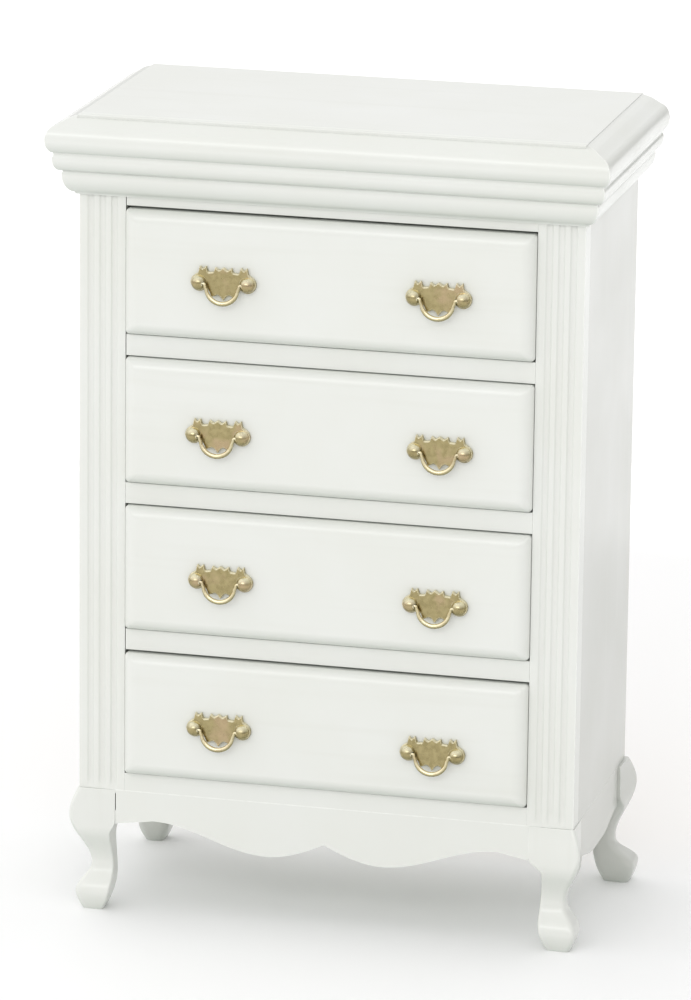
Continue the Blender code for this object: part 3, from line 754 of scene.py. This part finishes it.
def make_apron_side(word):
    """Its lower edge is one shallow curve down to a level middle."""
    name = "apron_" + word
    low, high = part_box(name)
    middle = (FRONT + BACK) / 2
    end = (BACK - FRONT) / 2 - BLOCK_WIDTH - HAIRLINE
    half = []
    for i in range(APRON_STEPS + 1):
        share = i / APRON_STEPS
        drop = SIDE_APRON_END + (SIDE_APRON_LOW - SIDE_APRON_END) * ease(share)
        half.append((end - SIDE_APRON_RUN * share, drop))
    outline = half + [(-y, drop) for y, drop in reversed(half)] + [(-end, HAIRLINE), (end, HAIRLINE)]
    rings = [[(x, middle + y, CASE_BOTTOM - drop) for y, drop in outline] for x in (low.x, high.x)]
    # greyed paint: painted shade on the side
    add_piece(name + "_fine", loft(name, rings), SIDE_SHADED_PAINT["y"], name, APRON_ROUND)


# ---------------------------------------------------------------- drawers


def rounded_rectangle(low, high, inset, radius):
    """(x, z) points round a drawer front's outline, drawn in by an inset."""
    left, right = low.x + inset + radius, high.x - inset - radius
    down, up = low.z + inset + radius, high.z - inset - radius
    outline = []
    for x, z, start in ((right, down, -90), (right, up, 0), (left, up, 90), (left, down, 180)):
        outline += arc((x, z), radius, start, start + 90, CORNER_STEPS)
    return outline


def make_drawer_front(drawer):
    """Rounded over all round, with a face that the paint leaves very slightly crowned."""
    name = f"drawer_{drawer}_front"
    low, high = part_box(name)
    low -= Vector((LEFT_REACH, 0, FOOT_REACH))
    high += Vector((RIGHT_REACH, 0, HEAD_REACH[drawer]))
    levels = [(high.y, 0.0)]
    for i in range(EDGE_STEPS + 1):
        angle = math.radians(90 * i / EDGE_STEPS)
        levels.append((low.y + EDGE_DEPTH * (1 - math.sin(angle)), EDGE_WIDTH * (1 - math.cos(angle))))
    rings = []
    for y, inset in levels:
        outline = rounded_rectangle(low, high, inset, CORNER_RADIUS)
        rings.append([(x, y, z) for x, z in outline])
    add_piece(name + "_fine", loft(name, rings), PAINT["x"], name)


def make_drawer_box(drawer):
    """The boards are let out to meet, so that only hairline joints show."""
    across, along_depth = (BOARD_JOIN, 0, 0), (0, BOARD_JOIN, 0)
    both = (BOARD_JOIN, BOARD_JOIN, 0)
    for _, word in SIDES:
        add_board(f"drawer_{drawer}_side_{word}", WOOD["y"], along_depth)
    add_board(f"drawer_{drawer}_back", WOOD["x"], across, across)
    add_board(f"drawer_{drawer}_bottom", WOOD["x"], both, both, BOTTOM_ROUND)


# ---------------------------------------------------------------- pulls


def plate_edges():
    """Right half of the back plate's upper and lower edges: (x, z) points from its middle outwards.

    The crown and the skirt are (x, z, rounding) corners in millimetres.
    """
    crown = [
        (0, 2.32, 0.08),
        (0.62, 1.88, 0.12),
        (1.22, 2.32, 0.08),
        (1.45, 1.62, 0.15),
        (2.3, 1.52, 0.2),
        (2.6, 2.42, 0.08),
        (3.1, 1.98, 0.12),
        (3.52, 2.42, 0.08),
        (3.72, 1.45, 0.15),
    ]
    skirt = [
        (0, -2.55, 0.1),
        (0.42, -1.95, 0.1),
        (0.85, -1.7, 0.15),
        (1.3, -1.9, 0.1),
        (1.75, -2.08, 0.15),
        (1.95, -1.5, 0.2),
        (2.35, -0.85, 0.2),
    ]
    edges = []
    for corners, start in ((crown, 55), (skirt, -140)):
        lobe = arc((BOSS_SPREAD, 0), LOBE_RADIUS, start, 0, 12)
        inner = softened([(x * MM, z * MM, r * MM) for x, z, r in corners] + [lobe[0] + (0,)], 2)
        edges.append([point for point in inner if 0 <= point[0] < lobe[0][0]] + lobe)
    return edges


def height_on(edge, x):
    """The height of an edge at x, read between its points."""
    for (x0, z0), (x1, z1) in zip(edge, edge[1:]):
        if x0 <= x <= x1 and x1 > x0:
            return z0 + (z1 - z0) * (x - x0) / (x1 - x0)
    return edge[-1][1] if x > edge[-1][0] else edge[0][1]


def plate_sheet():
    """The stamped sheet in narrow columns: a flat face with a turned edge above and below."""
    upper, lower = plate_edges()
    stations = sorted({round(x, 7) for x, _ in upper + lower})
    rings = []
    for x in [-x for x in reversed(stations[1:])] + stations:
        top = height_on(upper, abs(x))
        foot = height_on(lower, abs(x))
        turn = min(PLATE_EDGE, (top - foot) / 3)
        rings.append(
            [
                (x, PLATE_BACK, foot - turn / 8),
                (x, PLATE_FACE + PLATE_EDGE, foot - turn / 8),
                (x, PLATE_FACE, foot + turn),
                (x, PLATE_FACE, top - turn),
                (x, PLATE_FACE + PLATE_EDGE, top + turn / 8),
                (x, PLATE_BACK, top + turn / 8),
            ]
        )
    return loft("plate", rings, 30)


def boss_mesh(side):
    """A low dome on each lobe."""
    levels = [(PLATE_FACE + BOSS_SINK, BOSS_RADIUS)]
    for angle in (0, 12, 24, 36, 48, 60, 70, 80):
        turn = math.radians(angle)
        levels.append((PLATE_FACE - BOSS_HEIGHT * math.sin(turn), BOSS_RADIUS * math.cos(turn)))
    rings = []
    step = 360 / BOSS_SIDES
    for y, radius in levels:
        circle = arc((side * BOSS_SPREAD, 0), radius, 0, 360 - step, BOSS_SIDES - 1)
        rings.append([(x, y, z) for x, z in circle])
    return loft("boss", rings)


def bore_mesh(side):
    """The hole that a bail's pin runs in."""
    circle = arc((0, 0), PIN_BORE_RADIUS, 0, 360 - 360 / BORE_SIDES, BORE_SIDES - 1)
    return loft("bore", [[(side * x, y, z) for y, z in circle] for x in PIN_BORE])


def plate_mesh():
    """The sheet with its bosses joined on and the pin holes bored in them."""
    plate = bpy.data.objects.new("plate_blank", plate_sheet())
    blanks = [plate]
    for side, _ in SIDES:
        for operation, mesh in (("UNION", boss_mesh(side)), ("DIFFERENCE", bore_mesh(side))):
            tool = bpy.data.objects.new("plate_tool", mesh)
            blanks.append(tool)
            step = plate.modifiers.new(operation, "BOOLEAN")
            step.operation = operation
            step.solver = "EXACT"
            step.object = tool
    for blank in blanks:
        bpy.context.scene.collection.objects.link(blank)
    bpy.context.view_layer.update()
    mesh = bpy.data.meshes.new_from_object(plate.evaluated_get(bpy.context.evaluated_depsgraph_get()))
    for blank in blanks:
        bpy.data.objects.remove(blank, do_unlink=True)
    mesh.shade_smooth()
    mesh.set_sharp_from_angle(angle=math.radians(30))
    return mesh


def bail_path():
    """((x, z), radius) from the left pin, down round the thickened bow and up to the right pin."""
    half = []
    for x, z in arc((0, -BAIL_BOW_DROP), BAIL_BOW_RADIUS, -90, -6, 16):
        swell = ease(between(-z, BAIL_BOW_DROP, BAIL_BOW_DROP + BAIL_BOW_RADIUS))
        radius = BAIL_END_RADIUS + (BAIL_BOW_THICK - BAIL_END_RADIUS) * swell
        deepest = BAIL_BOW_DROP + BAIL_BOW_RADIUS
        rise = (deepest + BAIL_BOW_THICK - BAIL_LOWEST) * swell
        half.append(((x, z + rise), radius))
    bend_x, bend_radius = BAIL_BEND
    half += [(point, BAIL_END_RADIUS) for point in arc((bend_x, -bend_radius), bend_radius, 185, 90, 6)]
    half.append(((BAIL_PIN_END, 0), BAIL_END_RADIUS))
    return [((-x, z), radius) for (x, z), radius in reversed(half[1:])] + half


def bail_mesh():
    """A round bar swept along its path in the plane y = 0."""
    path = bail_path()
    rings = []
    for i, ((x, z), radius) in enumerate(path):
        before = Vector(path[max(i - 1, 0)][0])
        after = Vector(path[min(i + 1, len(path) - 1)][0])
        tangent = (after - before).normalized()
        ring = []
        for j in range(BAIL_SIDES):
            turn = 2 * math.pi * j / BAIL_SIDES
            out = radius * math.cos(turn)
            ring.append((x - tangent.y * out, radius * math.sin(turn), z + tangent.x * out))
        rings.append(ring)
    return loft("bail", rings, 60)


def pin_middles():
    """Where the middle of each bail's pin line is, by the bail's node name."""
    places = {}
    for joint in frame["record"]["behaviour"]["joints"]:
        if joint["type"] == "hinge":
            places["pull_" + joint["child"]] = Vector(joint["pos_m"])
    return places


def make_pulls():
    plate = plate_mesh()
    bail = bail_mesh()
    for node, place in pin_middles().items():
        parts = ((plate, PLATE_GILT, node.replace("bail", "plate")), (bail, BAIL_GILT, node))
        for source, look, name in parts:
            mesh = source.copy()
            mesh.transform(Matrix.Translation(place))
            add_piece(name + "_fine", mesh, look, name)


# ---------------------------------------------------------------- studio


def make_floor():
    """A flat disc, far wider than the photo's view."""
    bm = bmesh.new()
    centre = bm.verts.new((0, 0, 0))
    outline = arc((0, 0), FLOOR_RADIUS, 0, 360 - 360 / FLOOR_SIDES, FLOOR_SIDES - 1)
    rim = [bm.verts.new((x, y, 0)) for x, y in outline]
    for i, vert in enumerate(rim):
        bm.faces.new((centre, vert, rim[(i + 1) % len(rim)]))
    mesh = mesh_from("floor", bm)
    mesh.materials.append(make_floor_look())
    floor = bpy.data.objects.new("floor", mesh)
    bpy.context.scene.collection.objects.link(floor)


def add_softbox(name, place, aim, size, power):
    lamp = bpy.data.lights.new(name, "AREA")
    lamp.shape = "RECTANGLE"
    lamp.size, lamp.size_y = size
    lamp.energy = power
    box = bpy.data.objects.new(name, lamp)
    box.location = place
    box.rotation_euler = (aim - place).to_track_quat("-Z", "Y").to_euler()
    bpy.context.scene.collection.objects.link(box)


def make_lights():
    """A pale tent, brighter above and on the left, a wide softbox in front, and the floor lamp."""
    world = bpy.data.worlds.new("studio")
    world.use_nodes = True
    tree = world.node_tree
    towards = tree.nodes.new("ShaderNodeTexCoord").outputs["Generated"]
    axes = tree.nodes.new("ShaderNodeSeparateXYZ")
    tree.links.new(towards, axes.inputs[0])
    total = None
    for axis, span, levels in (("X", (-1.0, 1.0), TENT_ACROSS), ("Z", (0.0, TENT_TURN), TENT_UP)):
        step = tree.nodes.new("ShaderNodeMapRange")
        step.inputs["From Min"].default_value, step.inputs["From Max"].default_value = span
        step.inputs["To Min"].default_value, step.inputs["To Max"].default_value = levels
        tree.links.new(axes.outputs[axis], step.inputs["Value"])
        if total is None:
            total = step.outputs[0]
        else:
            both = tree.nodes.new("ShaderNodeMath")
            tree.links.new(total, both.inputs[0])
            tree.links.new(step.outputs[0], both.inputs[1])
            total = both.outputs[0]
    tree.nodes["Background"].inputs["Color"].default_value = (1.0, 1.0, 1.0, 1.0)
    tree.links.new(total, tree.nodes["Background"].inputs["Strength"])
    bpy.context.scene.world = world
    add_softbox("key", KEY_PLACE, Vector((0, 0, 0.06)), KEY_SIZE, KEY_POWER)
    lamp = bpy.data.lights.new("floor_lamp", "SPOT")
    lamp.energy = FLOOR_LAMP_POWER
    lamp.spot_size = 2 * math.atan2(FLOOR_LAMP_REACH, FLOOR_LAMP_PLACE.z)
    lamp.spot_blend = FLOOR_LAMP_FADE
    floor_lamp = bpy.data.objects.new("floor_lamp", lamp)
    floor_lamp.location = FLOOR_LAMP_PLACE
    bpy.context.scene.collection.objects.link(floor_lamp)


def make_camera():
    turn = Matrix.Rotation(CAMERA_YAW, 4, "Z")
    tilt = Matrix.Rotation(math.pi / 2 - CAMERA_PITCH, 4, "X")
    roll = Matrix.Rotation(CAMERA_ROLL, 4, "Z")
    facing = turn @ tilt @ roll
    aim = Vector((0, (FRONT + BACK) / 2, CAMERA_AIM_HEIGHT))
    camera = bpy.data.objects.new("camera", bpy.data.cameras.new("camera"))
    camera.data.lens = CAMERA_LENS
    camera.matrix_world = Matrix.Translation(aim + facing @ CAMERA_OFFSET) @ facing
    bpy.context.scene.collection.objects.link(camera)
    bpy.context.scene.camera = camera


def make_carcass():
    for side, word in SIDES:
        make_pilaster(side, word)
        make_side_panel(side, word)
        make_apron_side(word)
    for name, joint in (
        ("divider_1", OPEN_JOINT),
        ("divider_2", HAIRLINE),
        ("divider_3", OPEN_JOINT),
        ("bottom_board", HAIRLINE),
    ):
        make_shelf(name, joint)
    make_top_rail()
    add_board("back_panel", WOOD["z"], (BACK_JOIN, 0, 0), (BACK_JOIN, 0, 0))
    make_cornice()
    make_top_board()
    make_apron_front()
    for end, place in ((-1, "front"), (1, "rear")):
        for side, word in SIDES:
            name = f"leg_{place}_{word}"
            make_leg(name, side, end, **LEG_SHAPES[name])


make_camera()
make_floor()
make_lights()
make_carcass()
for drawer in DRAWERS:
    make_drawer_front(drawer)
    make_drawer_box(drawer)
make_pulls()
bpy.context.scene.view_settings.view_transform = "Standard"
